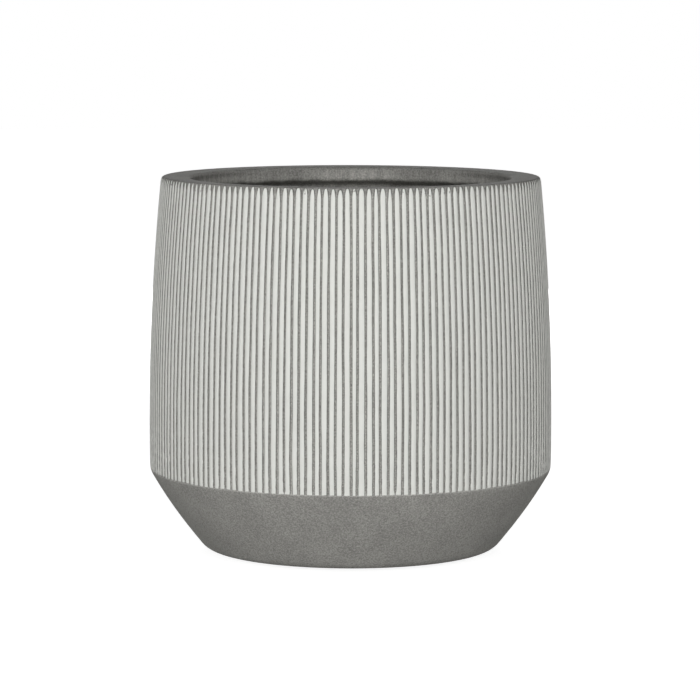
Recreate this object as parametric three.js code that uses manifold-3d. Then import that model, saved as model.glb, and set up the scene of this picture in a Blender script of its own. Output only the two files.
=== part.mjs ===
// A round planter cast in fibre cement: a barrel-shaped wall with upright ribs and grooves, a
// plain tapered foot, a thick rim whose lip overhangs the inside, and a floor with a drain hole.
// A rubber stopper closes the hole, and four rubber pads stand the pot off the ground.
// Units are millimetres. +Z is up, and the origin is on the ground under the pot's middle.

import * as THREE from 'three';
import { mergeVertices } from 'three/addons/utils/BufferGeometryUtils.js';
import Module from 'manifold-3d';

// Outside of the pot
const overallHeight = 261;
const rimDiameter = 262.4;
const rimEdgeRadius = 2.2;
const widestDiameter = 280;
const widestHeight = 86;
const kinkHeight = 58;
const kinkRadius = 14;
const baseDiameter = 200;
const baseEdgeRadius = 14;
const footBulge = 2.2;

// Inside of the pot
const wallThickness = 10;
const floorThickness = 15;
const floorCornerRadius = 14;
const innerKinkRadius = 20;
const mouthDiameter = 222;
const mouthEdgeRadius = 2.4;
const lipHeight = 10;
const lipUndersideDrop = 4;
const lipUndersideRadius = 2.5;
const undercutRadius = 3;

// Ribs of the wall, and the grooves between them
const ribCount = 176;
const grooveWidth = 2.1;
const grooveFloorWidth = 1.2;
const grooveDepth = 1.1;
const grooveRunOut = 4;
const ribTipLength = 6;
const ribTipWidth = 0.8;

// Underside
const footRingWidth = 45;
const undersideRecess = 3;
const padCount = 4;
const padDiameter = 20;
const padThickness = 2;
const padEdgeRadius = 0.6;

// Drain hole and stopper
const drainDiameter = 24;
const plugClearance = 0.3;
const plugHeadDiameter = 38;
const plugHeadThickness = 4;
const plugHeadEdgeRadius = 0.8;
const plugHeadSetback = 0.5;
const plugShankProjection = 2;
const plugShankTaper = 1;
const sealBeadCount = 2;
const sealBeadHeight = 0.6;
const plugBoreDiameter = 12;
const plugCrownThickness = 6;
const gripDishDiameter = 26;
const gripDishDepth = 2.2;
const gripBarWidth = 6;

// Fineness of the round surfaces
const outsideSegments = Math.round(ribCount / 2);
const insideSegments = 44;
const smallSegments = 24;
const wallSteps = 3;
const footSteps = 3;
const cornerSteps = 3;

// How far a cutting solid reaches past what it cuts
const cutMargin = 1;

const cementColour = 0x81807c;
const rubberColour = 0x1d1d1e;

const underside = padThickness;
const recessTop = underside + undersideRecess;
const floorTop = underside + floorThickness;
const lipBottom = overallHeight - lipHeight;
const mouthRadius = mouthDiameter / 2;
const drainRadius = drainDiameter / 2;
const plugHeadRadius = plugHeadDiameter / 2;
const plugHeadTop = floorTop - plugHeadSetback;
const plugHeadBottom = plugHeadTop - plugHeadThickness;

const wasm = await Module();
wasm.setup();

// Profiles are drawn as points of radius and height
function point(radius, height) {
  return new THREE.Vector2(radius, height);
}

// Radius of the rib crests at a height: a shallow arc, widest a third of the way up
function wallRadius(height) {
  const share = (height - widestHeight) / (overallHeight - widestHeight);
  return (widestDiameter - (widestDiameter - rimDiameter) * share * share) / 2;
}

// Points of the arc that rounds a profile's corner, coming from one point and going to another
function roundCorner(before, corner, after, radius, steps = cornerSteps) {
  const back = before.clone().sub(corner).normalize();
  const ahead = after.clone().sub(corner).normalize();
  const halfAngle = Math.acos(back.dot(ahead)) / 2;
  const inward = back.clone().add(ahead).normalize();
  const centre = corner.clone().addScaledVector(inward, radius / Math.sin(halfAngle));
  const start = corner.clone().addScaledVector(back, radius / Math.tan(halfAngle));
  const turn = -Math.sign(back.cross(ahead)) * (Math.PI - 2 * halfAngle);
  return Array.from({ length: steps + 1 }, (_, i) => (
    start.clone().rotateAround(centre, turn * i / steps)
  ));
}

// The foot's side, from the base to the kink, bulging a little past a straight line
const baseCorner = point(baseDiameter / 2, underside);
const kinkCorner = point(wallRadius(kinkHeight), kinkHeight);
const footMiddle = baseCorner.clone().add(kinkCorner).divideScalar(2);
const footCurve = new THREE.QuadraticBezierCurve(
  baseCorner,
  footMiddle.clone().add(point(2 * footBulge, 0)),
  kinkCorner,
);
const footRingRadius = baseCorner.x - footRingWidth;
const baseEdge = roundCorner(point(0, underside), baseCorner, footCurve.v1, baseEdgeRadius);

// The ribbed wall, between where its grooves reach full depth and where its ribs start to narrow
const wallBottom = kinkHeight + grooveRunOut;
const wallTop = overallHeight - ribTipLength;
const wallHeights = Array.from({ length: wallSteps + 1 }, (_, i) => (
  THREE.MathUtils.lerp(wallBottom, wallTop, i / wallSteps)
));

// A ring of points at even angles, for the plain surfaces
function plainRing({ x: radius, y: height }, count, startAngle = 0) {
  return Array.from({ length: count }, (_, i) => (
    { angle: startAngle + 2 * Math.PI * i / count, radius, height }
  ));
}

// A ring of the ribbed wall, with four points to a groove: crest edge, two floor corners, crest edge
function flutedRing(height, width) {
  const crest = wallRadius(height);
  const floor = crest - grooveDepth;
  const floorWidth = width - grooveWidth + grooveFloorWidth;
  return Array.from({ length: ribCount }, (_, groove) => {
    const middle = 2 * Math.PI * groove / ribCount;
    return [
      { angle: middle - width / 2 / crest, radius: crest, height },
      { angle: middle - floorWidth / 2 / crest, radius: floor, height },
      { angle: middle + floorWidth / 2 / crest, radius: floor, height },
      { angle: middle + width / 2 / crest, radius: crest, height },
    ];
  }).flat();
}

// Rings of the outside, from the foot ring up to the flat of the rim. The grooves start from
// nothing on the kink. Under the rim they widen, so that each rib ends in a narrow tip on the
// rim's rounded edge, where that edge has come in by the groove's depth.
function outsideRings() {
  const kinkMiddle = Math.ceil(cornerSteps / 2);
  const kink = roundCorner(footCurve.v1, kinkCorner, point(kinkCorner.x, wallBottom), kinkRadius);
  const plain = [...baseEdge, ...footCurve.getPoints(footSteps).slice(1, -1), ...kink.slice(0, kinkMiddle)];
  const tipAngle = Math.acos(Math.max(1 - grooveDepth / rimEdgeRadius, 0));
  const rimFlat = point(rimDiameter / 2 - rimEdgeRadius, overallHeight);
  const roundingStart = overallHeight - rimEdgeRadius;
  const tip = point(
    rimFlat.x + rimEdgeRadius * Math.cos(tipAngle),
    roundingStart + rimEdgeRadius * Math.sin(tipAngle),
  );
  const pitch = 2 * Math.PI / ribCount;
  return [
    ...plain.map((place) => plainRing(place, outsideSegments)),
    plainRing(kink[kinkMiddle], ribCount),
    ...wallHeights.map((height) => flutedRing(height, grooveWidth)),
    flutedRing(roundingStart, pitch * wallRadius(roundingStart) - ribTipWidth),
    plainRing(tip, ribCount, -pitch / 2),
    plainRing(rimFlat, outsideSegments),
  ];
}

// Profile of the inside, from the mouth down to the floor. Its sides keep the wall's thickness.
function insideProfile() {
  const slope = kinkCorner.clone().sub(baseCorner).normalize();
  const inward = point(-slope.y, slope.x);
  const offsetBase = baseCorner.clone().addScaledVector(inward, wallThickness);
  const alongFoot = (distance) => offsetBase.clone().addScaledVector(slope, distance);
  const floorCorner = alongFoot((floorTop - offsetBase.y) / slope.y);
  const innerKink = alongFoot((kinkCorner.x - wallThickness - offsetBase.x) / slope.x);
  const innerWall = (height) => point(wallRadius(height) - wallThickness, height);
  const undercut = innerWall(lipBottom - lipUndersideDrop);
  const mouth = point(mouthRadius, overallHeight);
  const lip = point(mouthRadius, lipBottom);
  const kink = roundCorner(innerWall(wallBottom + innerKinkRadius), innerKink, floorCorner, innerKinkRadius);
  const undercutArc = roundCorner(lip, undercut, innerKink, undercutRadius);
  const wall = wallHeights.filter((height) => height > kink[0].y && height < undercutArc.at(-1).y);
  return [
    ...roundCorner(point(rimDiameter / 2, overallHeight), mouth, lip, mouthEdgeRadius),
    ...roundCorner(mouth, lip, undercut, lipUndersideRadius),
    ...undercutArc,
    ...wall.reverse().map(innerWall),
    ...kink,
    ...roundCorner(innerKink, floorCorner, point(0, floorTop), floorCornerRadius),
  ];
}

// Profile of the drain hole, from the floor down through the seat of the stopper's head
function drainProfile() {
  const seat = plugHeadBottom - plugClearance;
  return [
    point(plugHeadRadius + plugClearance, floorTop),
    point(plugHeadRadius + plugClearance, seat),
    point(drainRadius, seat),
    point(drainRadius, recessTop),
  ];
}

// Joins each ring to the next, and the last to the first, whatever the count of their points.
// At each step the ring whose next edge has its middle at the smaller angle moves on.
function loft(rings) {
  const starts = [];
  const positions = [];
  const indices = [];
  for (const ring of rings) {
    starts.push(positions.length / 3);
    for (const { angle, radius, height } of ring) {
      positions.push(radius * Math.cos(angle), radius * Math.sin(angle), height);
    }
  }
  const angleAt = (ring, i) => ring[i % ring.length].angle + 2 * Math.PI * Math.floor(i / ring.length);
  const edgeMiddle = (ring, i) => (angleAt(ring, i) + angleAt(ring, i + 1)) / 2;
  rings.forEach((ring, level) => {
    const nextLevel = (level + 1) % rings.length;
    const next = rings[nextLevel];
    const index = (i) => starts[level] + i % ring.length;
    const nextIndex = (i) => starts[nextLevel] + i % next.length;
    let here = 0;
    let there = 0;
    while (here < ring.length || there < next.length) {
      const roomLeft = here < ring.length;
      if (roomLeft && (there === next.length || edgeMiddle(ring, here) <= edgeMiddle(next, there))) {
        indices.push(index(here), index(here + 1), nextIndex(there));
        here += 1;
      } else {
        indices.push(index(here), nextIndex(there + 1), nextIndex(there));
        there += 1;
      }
    }
  });
  const geometry = new THREE.BufferGeometry();
  geometry.setAttribute('position', new THREE.Float32BufferAttribute(positions, 3));
  geometry.setIndex(indices);
  geometry.computeVertexNormals();
  return geometry;
}

// The whole casting in one piece: out along the underside, up the outside, over the rim, down
// the inside, and through the drain hole back to the underside
function potShell() {
  const recess = [point(footRingRadius - undersideRecess, recessTop), point(footRingRadius, underside)];
  return loft([
    ...recess.map((place) => plainRing(place, insideSegments)),
    ...outsideRings(),
    ...insideProfile().map((place) => plainRing(place, insideSegments)),
    ...drainProfile().map((place) => plainRing(place, smallSegments)),
  ]);
}

// A round solid turned about Z from a profile that starts and ends on the axis
function turned(profile) {
  return new THREE.LatheGeometry(profile, smallSegments).rotateX(Math.PI / 2);
}

function toSolid(geometry) {
  const bare = geometry.clone();
  bare.deleteAttribute('normal');
  bare.deleteAttribute('uv');
  const merged = mergeVertices(bare);
  return new wasm.Manifold(new wasm.Mesh({
    numProp: 3,
    vertProperties: merged.attributes.position.array,
    triVerts: new Uint32Array(merged.index.array),
  }));
}

function toGeometry(solid) {
  const mesh = solid.getMesh();
  const geometry = new THREE.BufferGeometry();
  geometry.setAttribute('position', new THREE.BufferAttribute(mesh.vertProperties, 3));
  geometry.setIndex(new THREE.BufferAttribute(mesh.triVerts, 1));
  geometry.computeVertexNormals();
  return geometry;
}

// Moulded stopper: a flat head, and a tapered shank with seal beads and a hollow core
function drainPlug() {
  const shankBottom = recessTop - plugShankProjection;
  const beadRadius = drainRadius - plugClearance;
  const shankTopRadius = beadRadius - sealBeadHeight;
  const shankRadius = (height) => (
    shankTopRadius - plugShankTaper * (plugHeadBottom - height) / (plugHeadBottom - shankBottom)
  );
  const beadSpacing = (plugHeadBottom - recessTop) / (sealBeadCount + 1);
  const beads = Array.from({ length: sealBeadCount }, (_, i) => recessTop + beadSpacing * (i + 1));
  const headRim = point(plugHeadRadius, plugHeadTop);
  const headFoot = point(plugHeadRadius, plugHeadBottom);
  const body = toSolid(turned([
    point(0, shankBottom),
    point(shankRadius(shankBottom), shankBottom),
    ...beads.flatMap((height) => [
      point(shankRadius(height), height - sealBeadHeight),
      point(beadRadius, height),
      point(shankRadius(height), height + sealBeadHeight),
    ]),
    point(shankTopRadius, plugHeadBottom),
    headFoot,
    ...roundCorner(headFoot, headRim, point(0, plugHeadTop), plugHeadEdgeRadius),
    point(0, plugHeadTop),
  ]));
  const boreTop = plugHeadTop - plugCrownThickness;
  const bore = toSolid(turned([
    point(0, shankBottom - cutMargin),
    point(plugBoreDiameter / 2, shankBottom - cutMargin),
    point(plugBoreDiameter / 2, boreTop),
    point(0, boreTop),
  ]));
  return toGeometry(body.subtract(bore).subtract(gripDish()));
}

// Round dish in the stopper's head, with a bar left across it to pull on
function gripDish() {
  const dishRadius = gripDishDiameter / 2;
  const dishFloor = plugHeadTop - gripDishDepth;
  const dish = toSolid(turned([
    point(0, dishFloor),
    point(dishRadius - gripDishDepth, dishFloor),
    point(dishRadius + cutMargin, plugHeadTop + cutMargin),
    point(0, plugHeadTop + cutMargin),
  ]));
  const bar = new THREE.BoxGeometry(gripDishDiameter, gripBarWidth, 2 * (gripDishDepth + cutMargin));
  return dish.subtract(toSolid(bar.translate(0, 0, plugHeadTop)));
}

function floorPad() {
  const lowCorner = point(padDiameter / 2, 0);
  const highCorner = point(padDiameter / 2, padThickness);
  return turned([
    point(0, 0),
    ...roundCorner(point(0, 0), lowCorner, highCorner, padEdgeRadius, 2),
    highCorner,
    point(0, padThickness),
  ]);
}

function cement() {
  return new THREE.MeshStandardMaterial({ color: cementColour, roughness: 0.9, metalness: 0 });
}

function rubber() {
  return new THREE.MeshStandardMaterial({ color: rubberColour, roughness: 0.65, metalness: 0 });
}

function named(name, geometry, material) {
  const mesh = new THREE.Mesh(geometry, material);
  mesh.name = name;
  return mesh;
}

const pot = new THREE.Group();
pot.add(named('pot_shell', potShell(), cement()));
pot.add(named('drain_plug', drainPlug(), rubber()));

// The pads stand evenly round the middle of the foot ring's flat underside
const padCircleRadius = (footRingRadius + baseEdge[0].x) / 2;
for (let i = 0; i < padCount; i += 1) {
  const angle = 2 * Math.PI * (i + 0.5) / padCount;
  const pad = named(`floor_pad_${i + 1}`, floorPad(), rubber());
  pad.position.set(padCircleRadius * Math.cos(angle), padCircleRadius * Math.sin(angle), 0);
  pot.add(pad);
}

export default pot;
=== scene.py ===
"""A round ribbed planter in a white studio: its cement casting, drain stopper and floor pads.

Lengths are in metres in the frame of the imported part: +Z is up, the ground is at z = 0 and the
viewer of the photograph stands on the -Y side.
"""

import logging
import math
from collections.abc import Callable, Iterator, Sequence
from contextlib import contextmanager
from dataclasses import dataclass
from enum import Enum
from functools import cached_property
from itertools import pairwise

import bmesh
import bpy
import numpy as np
from mathutils import Matrix, Vector

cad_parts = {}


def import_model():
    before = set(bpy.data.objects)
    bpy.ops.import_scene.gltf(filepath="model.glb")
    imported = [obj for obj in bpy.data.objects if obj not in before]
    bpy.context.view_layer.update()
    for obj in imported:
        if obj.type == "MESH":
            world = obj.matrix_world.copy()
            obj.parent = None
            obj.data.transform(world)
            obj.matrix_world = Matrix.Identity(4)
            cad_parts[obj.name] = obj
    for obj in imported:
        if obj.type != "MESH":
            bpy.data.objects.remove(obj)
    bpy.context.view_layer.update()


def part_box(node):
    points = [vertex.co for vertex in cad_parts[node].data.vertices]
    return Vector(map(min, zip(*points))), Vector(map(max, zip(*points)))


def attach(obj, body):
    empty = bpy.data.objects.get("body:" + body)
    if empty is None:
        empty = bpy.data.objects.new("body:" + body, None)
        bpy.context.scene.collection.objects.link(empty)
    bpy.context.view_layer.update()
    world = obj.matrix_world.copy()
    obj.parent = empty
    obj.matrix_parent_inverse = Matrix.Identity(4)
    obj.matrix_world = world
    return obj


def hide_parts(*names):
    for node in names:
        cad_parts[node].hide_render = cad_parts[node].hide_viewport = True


MM = 0.001
NEAR = MM / 100
NOT_RIBBED = -3 * MM
SEED = 176
IMAGE_SIDE = 700
SENSOR_WIDTH = 36.0

Point = tuple[float, float]
Span = tuple[float, float]
Colour = tuple[float, float, float]
Scale = tuple[float, float, float]

log = logging.getLogger("planter")


class Body(Enum):
    """The bodies that pieces ride on."""

    POT = "pot"
    PLUG = "plug"


class Slot(Enum):
    """The record's material slots."""

    CEMENT = "fibre_cement"
    PLUG_RUBBER = "plug_rubber"
    PAD_RUBBER = "pad_rubber"


class Mark(Enum):
    """Vertex attributes that the cement finish reads."""

    RIB_EDGE = "rib_edge"
    LIP = "lip_face"
    RIM_EDGE = "rim_edge"


# Modelling with operators


def deselect_all() -> None:
    """Leaves nothing selected."""
    if bpy.context.object and bpy.context.object.mode == "EDIT":
        bpy.ops.object.mode_set(mode="OBJECT")
    bpy.ops.object.select_all(action="DESELECT")


def select_only(piece: bpy.types.Object) -> None:
    """Makes a piece the only one selected, and the active one.

    Args:
        piece: The piece to work on.
    """
    deselect_all()
    piece.select_set(True)
    bpy.context.view_layer.objects.active = piece


@contextmanager
def editing(piece: bpy.types.Object) -> Iterator[None]:
    """Holds a piece in edit mode, with vertex selection and all of it selected at the start.

    Args:
        piece: The mesh object to edit.
    """
    select_only(piece)
    bpy.ops.object.mode_set(mode="EDIT")
    bpy.ops.mesh.select_mode(type="VERT")
    bpy.ops.mesh.select_all(action="SELECT")
    yield
    bpy.ops.object.mode_set(mode="OBJECT")


def pick_vertices(piece: bpy.types.Object, wanted: Callable[[Vector], bool]) -> None:
    """Selects the vertices whose place is wanted, in edit mode.

    Args:
        piece: The mesh object that is being edited.
        wanted: Says of a place whether its vertex is selected.
    """
    bpy.ops.mesh.select_mode(type="VERT")
    bpy.ops.mesh.select_all(action="DESELECT")
    mesh = bmesh.from_edit_mesh(piece.data)
    for vertex in mesh.verts:
        vertex.select = wanted(vertex.co)
    mesh.select_flush(True)
    bmesh.update_edit_mesh(piece.data)


def pick_edges(piece: bpy.types.Object, wanted: Callable[[Vector, Vector], bool]) -> None:
    """Selects the edges whose two ends are wanted, in edit mode.

    Args:
        piece: The mesh object that is being edited.
        wanted: Says of two places whether the edge between them is selected.
    """
    bpy.ops.mesh.select_mode(type="EDGE")
    bpy.ops.mesh.select_all(action="DESELECT")
    mesh = bmesh.from_edit_mesh(piece.data)
    for edge in mesh.edges:
        edge.select = wanted(edge.verts[0].co, edge.verts[1].co)
    bmesh.update_edit_mesh(piece.data)


def draw_outline(name: str, outline: Sequence[Point], closed: bool) -> bpy.types.Object:
    """Draws an outline in the XZ plane by extruding one vertex from point to point.

    Args:
        name: The new piece's name.
        outline: Points of radius and height.
        closed: Whether the last point is joined to the first.

    Returns:
        The new mesh object, at the origin.
    """
    deselect_all()
    start = Vector((outline[0][0], 0.0, outline[0][1]))
    end = Vector((outline[-1][0], 0.0, outline[-1][1]))
    bpy.ops.mesh.primitive_plane_add(size=MM, location=start)
    piece = bpy.context.object
    piece.name = piece.data.name = name
    bpy.ops.object.transform_apply(location=True)
    with editing(piece):
        bpy.ops.mesh.merge(type="CENTER")
        for here, there in pairwise(outline):
            step = (there[0] - here[0], 0.0, there[1] - here[1])
            bpy.ops.mesh.extrude_region_move(TRANSFORM_OT_translate={"value": step})
        if closed:
            pick_vertices(piece, lambda co: min((co - start).length, (co - end).length) < NEAR)
            bpy.ops.mesh.edge_face_add()
    return piece


def close_up(piece: bpy.types.Object) -> None:
    """Merges a piece's doubled vertices and turns every face outwards."""
    with editing(piece):
        bpy.ops.mesh.remove_doubles(threshold=NEAR)
        bpy.ops.mesh.normals_make_consistent(inside=False)


def smooth(piece: bpy.types.Object, crease: float) -> None:
    """Shades a piece smooth, apart from edges that turn by more than the crease, in degrees."""
    select_only(piece)
    bpy.ops.object.shade_smooth_by_angle(angle=math.radians(crease))


def turned(name: str, outline: Sequence[Point], steps: int) -> bpy.types.Object:
    """Turns an outline that starts and ends on the axis into a closed round piece.

    Args:
        name: The new piece's name.
        outline: Points of radius and height.
        steps: The number of faces round the axis.

    Returns:
        The new mesh object.
    """
    piece = draw_outline(name, outline, closed=False)
    with editing(piece):
        bpy.ops.mesh.spin(steps=steps, angle=2 * math.pi, center=(0, 0, 0), axis=(0, 0, 1))
    close_up(piece)
    return piece


def apply_modifier(piece: bpy.types.Object, kind: str, **settings: object) -> None:
    """Adds a modifier to a piece and applies it.

    Args:
        piece: The mesh object to change.
        kind: The modifier's type.
        **settings: The modifier's settings by name.
    """
    modifier = piece.modifiers.new(kind.lower(), kind)
    for setting, value in settings.items():
        setattr(modifier, setting, value)
    select_only(piece)
    bpy.ops.object.modifier_apply(modifier=modifier.name)


def place(piece: bpy.types.Object, body: Body, slot: Slot, *nodes: str) -> None:
    """Puts a finished piece on its body, in place of CAD nodes.

    Args:
        piece: The finished mesh object.
        body: The body that it rides on.
        slot: The material slot that goes with it; not used.
        *nodes: The CAD nodes that it replaces.
    """
    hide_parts(*nodes)
    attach(piece, body.value)
    log.info("%s: %d faces, on %s", piece.name, len(piece.data.polygons), body.value)


# Outlines


def rounded(before: Point, corner: Point, after: Point, radius: float, steps: int) -> list[Point]:
    """Rounds an outline's corner with an arc.

    Args:
        before: The point that the outline comes from.
        corner: The corner to round.
        after: The point that it goes to.
        radius: The arc's radius.
        steps: The number of steps along the arc.

    Returns:
        The arc's points, both ends included.
    """
    tip = Vector(corner)
    back = (Vector(before) - tip).normalized()
    ahead = (Vector(after) - tip).normalized()
    half = back.angle(ahead) / 2
    centre = tip + (back + ahead).normalized() * (radius / math.sin(half))
    spoke = tip + back * (radius / math.tan(half)) - centre
    turn = -math.copysign(math.pi - 2 * half, back.x * ahead.y - back.y * ahead.x)
    points = (centre + Matrix.Rotation(turn * i / steps, 2) @ spoke for i in range(steps + 1))
    return [(point.x, point.y) for point in points]


def spread(start: float, end: float, steps: int) -> list[float]:
    """Evenly spaced values between two ends, both included."""
    return [start + (end - start) * i / steps for i in range(steps + 1)]


def faded(depth: np.ndarray, span: Span) -> np.ndarray:
    """A share that goes from 0 at the span's first depth to 1 at its second."""
    start, end = span
    return np.clip((depth - start) / (end - start), 0.0, 1.0)


@dataclass(frozen=True)
class CastingSizes:
    """Sizes of the casting. Heights are above the ground.

    The overall height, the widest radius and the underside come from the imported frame. A fade
    is the two depths, below or inside an edge, between which a share goes from 0 to 1.
    """

    height: float
    widest_radius: float
    underside: float
    rim_radius: float = 131.2 * MM
    rim_edge_radius: float = 2.2 * MM
    widest_height: float = 86 * MM
    kink_height: float = 58 * MM
    kink_radius: float = 14 * MM
    base_radius: float = 100 * MM
    base_edge_radius: float = 14 * MM
    foot_bulge: float = 2.2 * MM
    wall_thickness: float = 10 * MM
    floor_thickness: float = 15 * MM
    floor_corner_radius: float = 14 * MM
    inner_kink_radius: float = 20 * MM
    mouth_radius: float = 111 * MM
    mouth_edge_radius: float = 2.4 * MM
    lip_height: float = 10 * MM
    rim_fall: float = 0.55 * MM
    lip_underside_drop: float = 4 * MM
    lip_underside_radius: float = 3.2 * MM
    undercut_radius: float = 3 * MM
    foot_ring_width: float = 45 * MM
    recess_depth: float = 3 * MM
    drain_radius: float = 12 * MM
    seat_radius: float = 19.3 * MM
    seat_height: float = 12.2 * MM
    drain_edge_radius: float = 0.5 * MM
    ribs_end_below: float = 0.3 * MM
    tip_rows_below: float = 10.5 * MM
    lip_edge_rise: float = 0.25 * MM
    lip_edge_swing: float = 0.3 * MM
    lip_edge_waves: range = range(5, 80)
    lip_face_swing: float = 0.12 * MM
    lip_face_waves: range = range(3, 24)
    lip_top_fade: Span = (1.5 * MM, 3 * MM)
    lip_foot_fade: Span = (9 * MM, 5 * MM)
    lip_swing_fade: Span = (3 * MM, 8 * MM)
    rim_inner_fade: Span = (2.6 * MM, 1.4 * MM)
    rim_lower_fade: Span = (7 * MM, 2 * MM)

    @property
    def floor_top(self) -> float:
        """Height of the floor inside."""
        return self.underside + self.floor_thickness

    @property
    def lip_bottom(self) -> float:
        """Height of the lip's lower edge."""
        return self.height - self.lip_height

    def wall_radius(self, height: float) -> float:
        """Radius of the rib crests at a height, also for an array of heights."""
        share = (height - self.widest_height) / (self.height - self.widest_height)
        return self.widest_radius - (self.widest_radius - self.rim_radius) * share**2


@dataclass(frozen=True)
class RibSizes:
    """Sizes of the ribs and grooves, and how far they stray from even."""

    count: int = 176
    columns: int = 10
    groove_half_width: float = 0.75 * MM
    groove_narrowing: float = 0.16
    groove_depth: float = 1.1 * MM
    run_out: float = 2.6 * MM
    flank_offsets: tuple[float, float, float] = (-0.26 * MM, -0.06 * MM, 0.18 * MM)
    crest_share: float = 0.5
    depth_shares: tuple[float, ...] = (1.0, 0.97, 0.71, 0.25, 0.07, 0.0)
    least_half_rib: float = 0.08 * MM
    tip_length: float = 8.0 * MM
    tip_height: float = 261.0 * MM
    tip_end: float = 0.4 * MM
    tip_width: float = 0.42
    tip_bluntness: float = 2.3
    tip_fall: float = 0.4 * MM
    tip_length_range: Span = (0.7, 1.3)
    tip_bluntness_range: Span = (0.5, 1.4)
    place_jitter: float = 0.036
    slow_drift: float = 0.1 * MM
    slow_spacing: float = 28 * MM
    quick_drift: float = 0.012 * MM
    quick_spacing: float = 9 * MM
    width_jitter: float = 0.07 * MM
    slow_width_spacing: float = 30 * MM
    quick_width_jitter: float = 0.01 * MM
    quick_width_spacing: float = 8 * MM
    least_half_groove: float = 0.5 * MM
    full_half_groove: float = 0.8 * MM
    full_half_rib: float = 0.5 * MM
    least_room: float = 0.1
    pinched_share: float = 0.05
    pinched_openness: float = 0.12
    pinch_length: float = 4.0 * MM
    pinch_length_range: Span = (0.4, 1.2)
    depth_range: Span = (0.9, 1.0)
    wash_start: float = 0.9 * MM


class Drift:
    """A smooth random stray along the height, different for each line."""

    def __init__(self, rng: np.random.Generator, lines: int, spacing: float, amount: float) -> None:
        """Draws the stray.

        Args:
            rng: The source of random numbers.
            lines: The number of lines that stray by themselves.
            spacing: The height between one draw and the next.
            amount: The standard deviation of a draw.
        """
        tallest = 0.3
        self.spacing = spacing
        self.draws = rng.normal(0.0, amount, (lines, int(tallest / spacing) + 2))

    def at(self, line: np.ndarray, height: np.ndarray) -> np.ndarray:
        """The stray of each line at each height."""
        step = height / self.spacing
        low = np.floor(step).astype(int)
        share = step - low
        share = share * share * (3 - 2 * share)
        return (1 - share) * self.draws[line, low] + share * self.draws[line, low + 1]


def ring_wave(rng: np.random.Generator, angle: np.ndarray, waves: range, amount: float) -> np.ndarray:
    """A random wave that closes on itself round the axis.

    Args:
        rng: The source of random numbers.
        angle: The angles to give it at.
        waves: The numbers of waves round the axis that are added up.
        amount: Its standard deviation.

    Returns:
        The wave's value at each angle.
    """
    total = np.zeros_like(angle)
    for number in waves:
        total += rng.normal() * np.sin(number * angle + rng.uniform(0, 2 * math.pi))
    return total * amount / math.sqrt(len(waves) / 2)


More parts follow.
